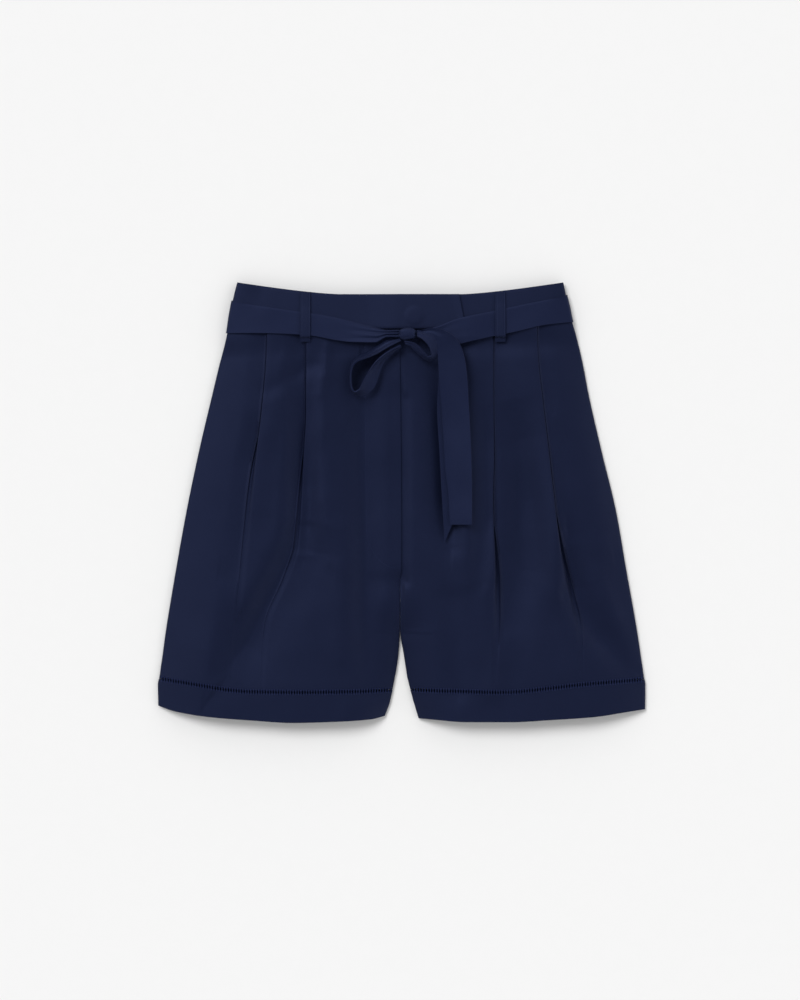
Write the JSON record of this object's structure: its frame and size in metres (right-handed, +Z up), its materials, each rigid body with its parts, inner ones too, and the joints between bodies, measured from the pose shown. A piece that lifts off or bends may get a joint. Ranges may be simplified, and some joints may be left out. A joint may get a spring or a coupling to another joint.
{
  "type": "pleated tie-belt shorts laid flat",
  "caption": "High-waisted navy shorts with pleats, a tie belt in a bow, belt loops and a ladder-stitched hem band on each leg, laid flat.",
  "frame": {"origin": "on the surface that the shorts lie on, under the middle of their box", "axes": "+X to the right across the shorts as seen from above, +Y towards the waist, +Z up out of the front"},
  "size_m": [0.5192, 0.4682, 0.0269],
  "materials": {
    "shell_cloth": "matt navy woven cloth with a soft drape",
    "belt_cloth": "the same navy cloth, sewn double"
  },
  "bodies": {
    "root": {"front_right": "shell_cloth", "back_right": "shell_cloth", "hem_front_right": "shell_cloth", "hem_back_right": "shell_cloth", "front_left": "shell_cloth", "back_left": "shell_cloth", "hem_front_left": "shell_cloth", "hem_back_left": "shell_cloth", "waistband_front_right": "shell_cloth", "waistband_front_left": "shell_cloth", "waistband_back": "shell_cloth", "belt_right": "belt_cloth", "belt_left": "belt_cloth", "belt_back": "belt_cloth", "belt_loop_front_right": "shell_cloth", "belt_loop_front_left": "shell_cloth", "belt_loop_back_1": "shell_cloth", "belt_loop_back_2": "shell_cloth", "belt_loop_back_3": "shell_cloth", "belt_knot": "belt_cloth", "bow_loop_right": "belt_cloth", "bow_loop_left": "belt_cloth", "belt_end_back": "belt_cloth", "belt_end_front": "belt_cloth"}
  },
  "joints": []
}
